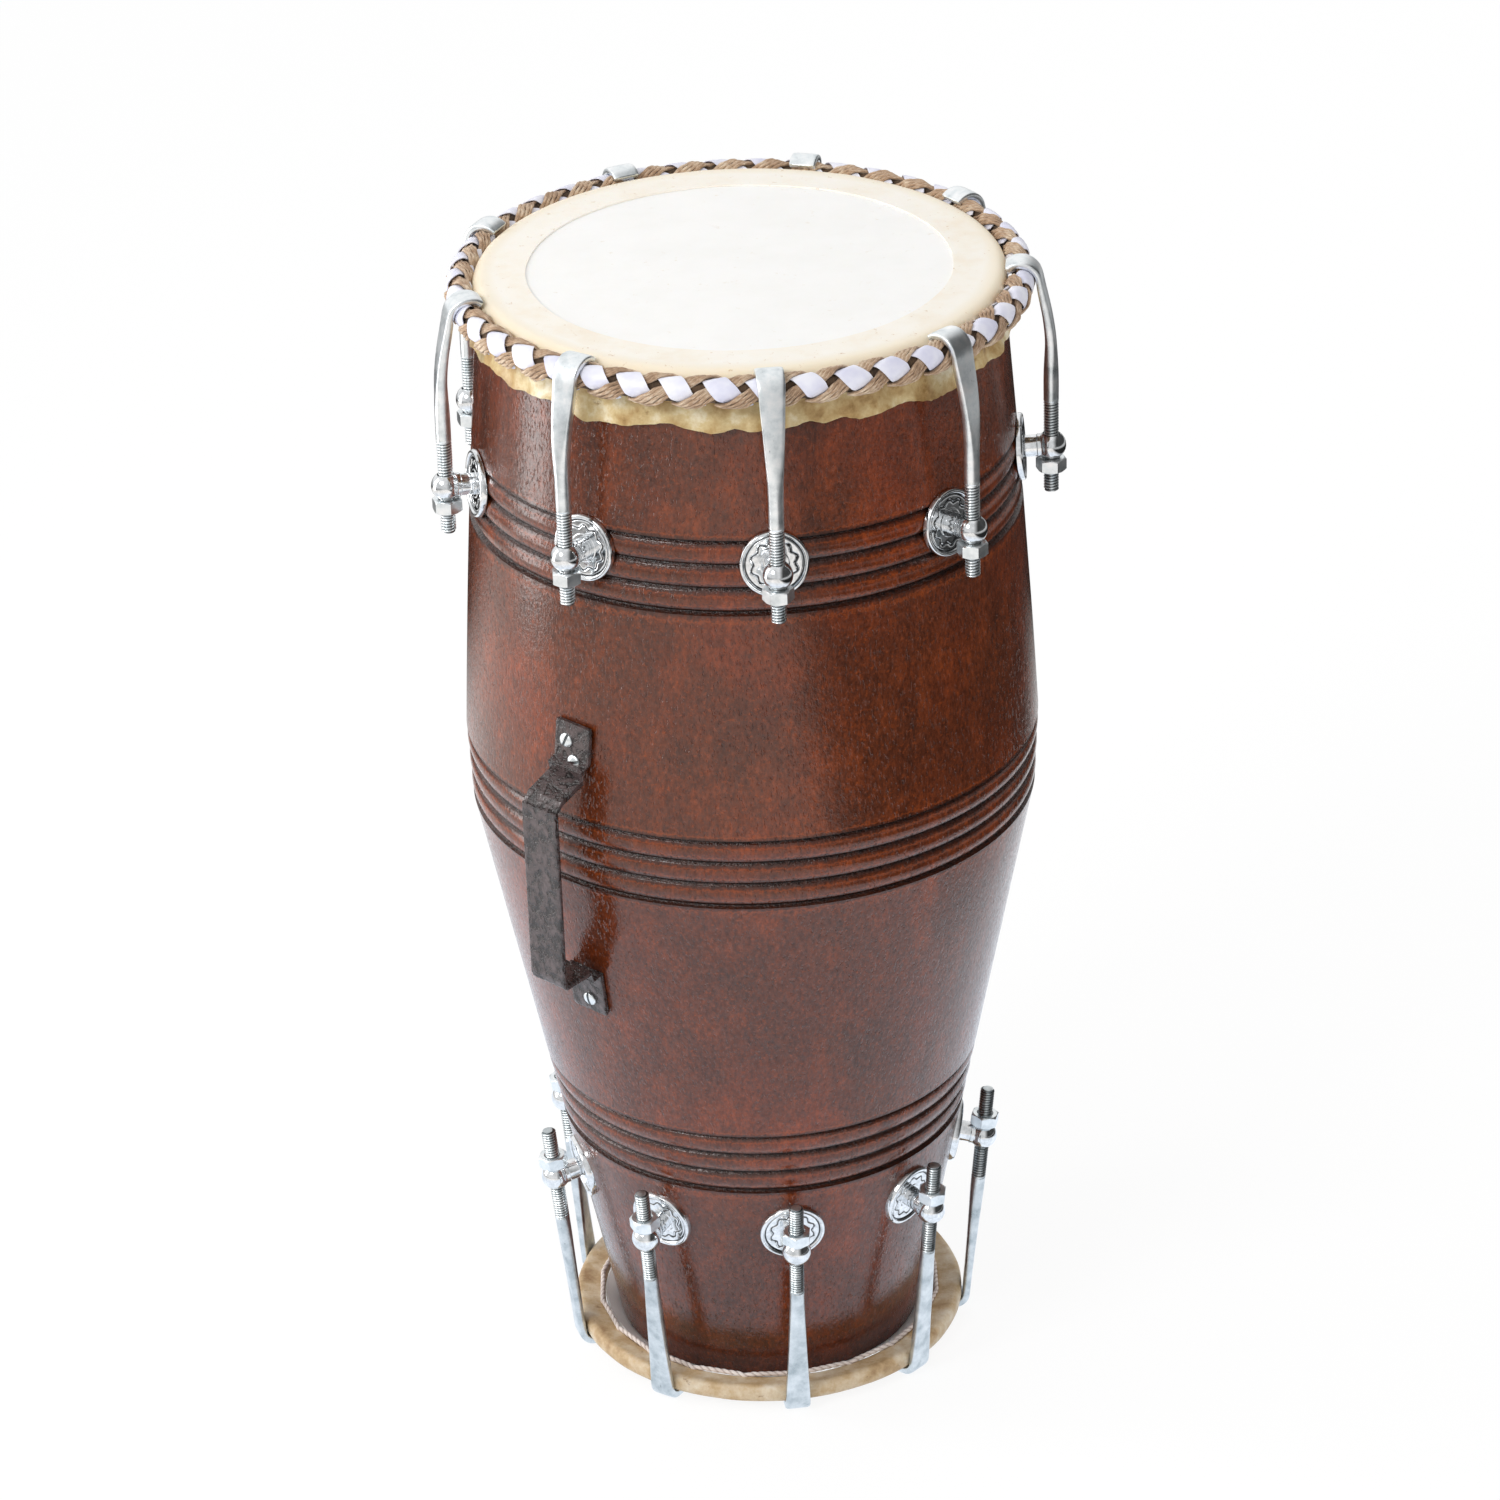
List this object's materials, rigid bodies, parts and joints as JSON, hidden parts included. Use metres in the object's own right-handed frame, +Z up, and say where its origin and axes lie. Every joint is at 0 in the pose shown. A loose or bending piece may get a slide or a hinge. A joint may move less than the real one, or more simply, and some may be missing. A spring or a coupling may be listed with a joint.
{
  "type": "dholak drum",
  "caption": "Two-headed barrel drum of turned lacquered wood with skins tuned by hooks and nuts at both ends and a strap handle on its side",
  "frame": {"origin": "on the drum's axis, in the plane of the undersides of the small head's hooks, on which it stands", "axes": "+Z up the drum's axis from the small head to the big one, -Y the front in the picture"},
  "size_m": [0.2616, 0.2617, 0.507],
  "materials": {
    "zinc_steel": "zinc plated, semi-bright",
    "lacquered_wood": "gloss, red-brown lacquer over turned wood",
    "thin_skin": "smooth, slightly translucent",
    "ring_skin": "smooth, cream",
    "tuning_paste": "matt black paste",
    "hoop_steel": "plain drawn rod",
    "jute_braid": "jute and white strips, plaited",
    "cotton_cord": "white twisted cord",
    "hide": "tan hide, smooth",
    "chrome_plate": "bright plate",
    "painted_strap": "dark brown paint over a hammered strap"
  },
  "bodies": {
    "drum": {"shell": "lacquered_wood", "top_skin": "thin_skin", "top_ring_skin": "ring_skin", "top_paste": "tuning_paste", "top_hoop": "hoop_steel", "top_braid": "jute_braid", "top_skirt": "ring_skin", "bottom_skin": "thin_skin", "bottom_hoop": "hoop_steel", "bottom_wrap": "hide", "bottom_lacing": "cotton_cord", "top_eyebolts": "chrome_plate", "bottom_eyebolts": "chrome_plate", "top_rosettes": "chrome_plate", "bottom_rosettes": "chrome_plate", "top_inner_washers": "zinc_steel", "bottom_inner_washers": "zinc_steel", "top_inner_nuts": "zinc_steel", "bottom_inner_nuts": "zinc_steel", "handle": "painted_strap", "handle_screws": "zinc_steel"},
    "top_hook_1": {"top_hook_1": "zinc_steel"},
    "top_nut_1": {"top_nut_1": "zinc_steel"},
    "top_hook_2": {"top_hook_2": "zinc_steel"},
    "top_nut_2": {"top_nut_2": "zinc_steel"},
    "top_hook_3": {"top_hook_3": "zinc_steel"},
    "top_nut_3": {"top_nut_3": "zinc_steel"},
    "top_hook_4": {"top_hook_4": "zinc_steel"},
    "top_nut_4": {"top_nut_4": "zinc_steel"},
    "top_hook_5": {"top_hook_5": "zinc_steel"},
    "top_nut_5": {"top_nut_5": "zinc_steel"},
    "top_hook_6": {"top_hook_6": "zinc_steel"},
    "top_nut_6": {"top_nut_6": "zinc_steel"},
    "top_hook_7": {"top_hook_7": "zinc_steel"},
    "top_nut_7": {"top_nut_7": "zinc_steel"},
    "top_hook_8": {"top_hook_8": "zinc_steel"},
    "top_nut_8": {"top_nut_8": "zinc_steel"},
    "top_hook_9": {"top_hook_9": "zinc_steel"},
    "top_nut_9": {"top_nut_9": "zinc_steel"},
    "bottom_hook_1": {"bottom_hook_1": "zinc_steel"},
    "bottom_nut_1": {"bottom_nut_1": "zinc_steel"},
    "bottom_hook_2": {"bottom_hook_2": "zinc_steel"},
    "bottom_nut_2": {"bottom_nut_2": "zinc_steel"},
    "bottom_hook_3": {"bottom_hook_3": "zinc_steel"},
    "bottom_nut_3": {"bottom_nut_3": "zinc_steel"},
    "bottom_hook_4": {"bottom_hook_4": "zinc_steel"},
    "bottom_nut_4": {"bottom_nut_4": "zinc_steel"},
    "bottom_hook_5": {"bottom_hook_5": "zinc_steel"},
    "bottom_nut_5": {"bottom_nut_5": "zinc_steel"},
    "bottom_hook_6": {"bottom_hook_6": "zinc_steel"},
    "bottom_nut_6": {"bottom_nut_6": "zinc_steel"},
    "bottom_hook_7": {"bottom_hook_7": "zinc_steel"},
    "bottom_nut_7": {"bottom_nut_7": "zinc_steel"},
    "bottom_hook_8": {"bottom_hook_8": "zinc_steel"},
    "bottom_nut_8": {"bottom_nut_8": "zinc_steel"},
    "bottom_hook_9": {"bottom_hook_9": "zinc_steel"},
    "bottom_nut_9": {"bottom_nut_9": "zinc_steel"}
  },
  "joints": [
    {"name": "top_nut_1_spin", "type": "hinge", "parent": "drum", "child": "top_nut_1", "pos_m": [0.0115, -0.12639, 0.42396], "axis": [0, 0, -1], "range_deg": [0, 1801]},
    {"name": "top_hook_1_slide", "type": "slide", "parent": "drum", "child": "top_hook_1", "axis": [0, 0, 1], "range_m": [0, 0.00635]},
    {"name": "top_nut_2_spin", "type": "hinge", "parent": "drum", "child": "top_nut_2", "pos_m": [0.09005, -0.08942, 0.42396], "axis": [0, 0, -1], "range_deg": [0, 1801]},
    {"name": "top_hook_2_slide", "type": "slide", "parent": "drum", "child": "top_hook_2", "axis": [0, 0, 1], "range_m": [0, 0.00635]},
    {"name": "top_nut_3_spin", "type": "hinge", "parent": "drum", "child": "top_nut_3", "pos_m": [0.12646, -0.01062, 0.42396], "axis": [0, 0, -1], "range_deg": [0, 1801]},
    {"name": "top_hook_3_slide", "type": "slide", "parent": "drum", "child": "top_hook_3", "axis": [0, 0, 1], "range_m": [0, 0.00635]},
    {"name": "top_nut_4_spin", "type": "hinge", "parent": "drum", "child": "top_nut_4", "pos_m": [0.1037, 0.07315, 0.42396], "axis": [0, 0, -1], "range_deg": [0, 1801]},
    {"name": "top_hook_4_slide", "type": "slide", "parent": "drum", "child": "top_hook_4", "axis": [0, 0, 1], "range_m": [0, 0.00635]},
    {"name": "top_nut_5_spin", "type": "hinge", "parent": "drum", "child": "top_nut_5", "pos_m": [0.03242, 0.1227, 0.42396], "axis": [0, 0, -1], "range_deg": [0, 1801]},
    {"name": "top_hook_5_slide", "type": "slide", "parent": "drum", "child": "top_hook_5", "axis": [0, 0, 1], "range_m": [0, 0.00635]},
    {"name": "top_nut_6_spin", "type": "hinge", "parent": "drum", "child": "top_nut_6", "pos_m": [-0.05403, 0.11483, 0.42396], "axis": [0, 0, -1], "range_deg": [0, 1801]},
    {"name": "top_hook_6_slide", "type": "slide", "parent": "drum", "child": "top_hook_6", "axis": [0, 0, 1], "range_m": [0, 0.00635]},
    {"name": "top_nut_7_spin", "type": "hinge", "parent": "drum", "child": "top_nut_7", "pos_m": [-0.11521, 0.05323, 0.42396], "axis": [0, 0, -1], "range_deg": [0, 1801]},
    {"name": "top_hook_7_slide", "type": "slide", "parent": "drum", "child": "top_hook_7", "axis": [0, 0, 1], "range_m": [0, 0.00635]},
    {"name": "top_nut_8_spin", "type": "hinge", "parent": "drum", "child": "top_nut_8", "pos_m": [-0.12247, -0.03327, 0.42396], "axis": [0, 0, -1], "range_deg": [0, 1801]},
    {"name": "top_hook_8_slide", "type": "slide", "parent": "drum", "child": "top_hook_8", "axis": [0, 0, 1], "range_m": [0, 0.00635]},
    {"name": "top_nut_9_spin", "type": "hinge", "parent": "drum", "child": "top_nut_9", "pos_m": [-0.07243, -0.10421, 0.42396], "axis": [0, 0, -1], "range_deg": [0, 1801]},
    {"name": "top_hook_9_slide", "type": "slide", "parent": "drum", "child": "top_hook_9", "axis": [0, 0, 1], "range_m": [0, 0.00635]},
    {"name": "bottom_nut_1_spin", "type": "hinge", "parent": "drum", "child": "bottom_nut_1", "pos_m": [0.01208, -0.09558, 0.08812], "axis": [0.0123, -0.0976, 0.9952], "range_deg": [0, 1801]},
    {"name": "bottom_hook_1_slide", "type": "slide", "parent": "drum", "child": "bottom_hook_1", "axis": [-0.0123, 0.0976, -0.9952], "range_m": [0, 0.00635]},
    {"name": "bottom_nut_2_spin", "type": "hinge", "parent": "drum", "child": "bottom_nut_2", "pos_m": [0.07069, -0.06546, 0.08812], "axis": [0.0722, -0.0668, 0.9952], "range_deg": [0, 1801]},
    {"name": "bottom_hook_2_slide", "type": "slide", "parent": "drum", "child": "bottom_hook_2", "axis": [-0.0722, 0.0668, -0.9952], "range_m": [0, 0.00635]},
    {"name": "bottom_nut_3_spin", "type": "hinge", "parent": "drum", "child": "bottom_nut_3", "pos_m": [0.09623, -0.00471, 0.08812], "axis": [0.0982, -0.0048, 0.9952], "range_deg": [0, 1801]},
    {"name": "bottom_hook_3_slide", "type": "slide", "parent": "drum", "child": "bottom_hook_3", "axis": [-0.0982, 0.0048, -0.9952], "range_m": [0, 0.00635]},
    {"name": "bottom_nut_4_spin", "type": "hinge", "parent": "drum", "child": "bottom_nut_4", "pos_m": [0.07674, 0.05825, 0.08812], "axis": [0.0783, 0.0595, 0.9952], "range_deg": [0, 1801]},
    {"name": "bottom_hook_4_slide", "type": "slide", "parent": "drum", "child": "bottom_hook_4", "axis": [-0.0783, -0.0595, -0.9952], "range_m": [0, 0.00635]},
    {"name": "bottom_nut_5_spin", "type": "hinge", "parent": "drum", "child": "bottom_nut_5", "pos_m": [0.02134, 0.09395, 0.08812], "axis": [0.0218, 0.0959, 0.9952], "range_deg": [0, 1801]},
    {"name": "bottom_hook_5_slide", "type": "slide", "parent": "drum", "child": "bottom_hook_5", "axis": [-0.0218, -0.0959, -0.9952], "range_m": [0, 0.00635]},
    {"name": "bottom_nut_6_spin", "type": "hinge", "parent": "drum", "child": "bottom_nut_6", "pos_m": [-0.04404, 0.08569, 0.08812], "axis": [-0.045, 0.0875, 0.9952], "range_deg": [0, 1801]},
    {"name": "bottom_hook_6_slide", "type": "slide", "parent": "drum", "child": "bottom_hook_6", "axis": [0.045, -0.0875, -0.9952], "range_m": [0, 0.00635]},
    {"name": "bottom_nut_7_spin", "type": "hinge", "parent": "drum", "child": "bottom_nut_7", "pos_m": [-0.08882, 0.03733, 0.08812], "axis": [-0.0907, 0.0381, 0.9952], "range_deg": [0, 1801]},
    {"name": "bottom_hook_7_slide", "type": "slide", "parent": "drum", "child": "bottom_hook_7", "axis": [0.0907, -0.0381, -0.9952], "range_m": [0, 0.00635]},
    {"name": "bottom_nut_8_spin", "type": "hinge", "parent": "drum", "child": "bottom_nut_8", "pos_m": [-0.09203, -0.02849, 0.08812], "axis": [-0.0939, -0.0291, 0.9952], "range_deg": [0, 1801]},
    {"name": "bottom_hook_8_slide", "type": "slide", "parent": "drum", "child": "bottom_hook_8", "axis": [0.0939, 0.0291, -0.9952], "range_m": [0, 0.00635]},
    {"name": "bottom_nut_9_spin", "type": "hinge", "parent": "drum", "child": "bottom_nut_9", "pos_m": [-0.05219, -0.08098, 0.08812], "axis": [-0.0533, -0.0827, 0.9952], "range_deg": [0, 1801]},
    {"name": "bottom_hook_9_slide", "type": "slide", "parent": "drum", "child": "bottom_hook_9", "axis": [0.0533, 0.0827, -0.9952], "range_m": [0, 0.00635]}
  ],
  "couplings": [
    {"joint": "top_nut_1_spin", "follows": "top_hook_1_slide", "rad_per_m": 4947.4},
    {"joint": "top_nut_2_spin", "follows": "top_hook_2_slide", "rad_per_m": 4947.4},
    {"joint": "top_nut_3_spin", "follows": "top_hook_3_slide", "rad_per_m": 4947.4},
    {"joint": "top_nut_4_spin", "follows": "top_hook_4_slide", "rad_per_m": 4947.4},
    {"joint": "top_nut_5_spin", "follows": "top_hook_5_slide", "rad_per_m": 4947.4},
    {"joint": "top_nut_6_spin", "follows": "top_hook_6_slide", "rad_per_m": 4947.4},
    {"joint": "top_nut_7_spin", "follows": "top_hook_7_slide", "rad_per_m": 4947.4},
    {"joint": "top_nut_8_spin", "follows": "top_hook_8_slide", "rad_per_m": 4947.4},
    {"joint": "top_nut_9_spin", "follows": "top_hook_9_slide", "rad_per_m": 4947.4},
    {"joint": "bottom_nut_1_spin", "follows": "bottom_hook_1_slide", "rad_per_m": 4947.4},
    {"joint": "bottom_nut_2_spin", "follows": "bottom_hook_2_slide", "rad_per_m": 4947.4},
    {"joint": "bottom_nut_3_spin", "follows": "bottom_hook_3_slide", "rad_per_m": 4947.4},
    {"joint": "bottom_nut_4_spin", "follows": "bottom_hook_4_slide", "rad_per_m": 4947.4},
    {"joint": "bottom_nut_5_spin", "follows": "bottom_hook_5_slide", "rad_per_m": 4947.4},
    {"joint": "bottom_nut_6_spin", "follows": "bottom_hook_6_slide", "rad_per_m": 4947.4},
    {"joint": "bottom_nut_7_spin", "follows": "bottom_hook_7_slide", "rad_per_m": 4947.4},
    {"joint": "bottom_nut_8_spin", "follows": "bottom_hook_8_slide", "rad_per_m": 4947.4},
    {"joint": "bottom_nut_9_spin", "follows": "bottom_hook_9_slide", "rad_per_m": 4947.4}
  ]
}
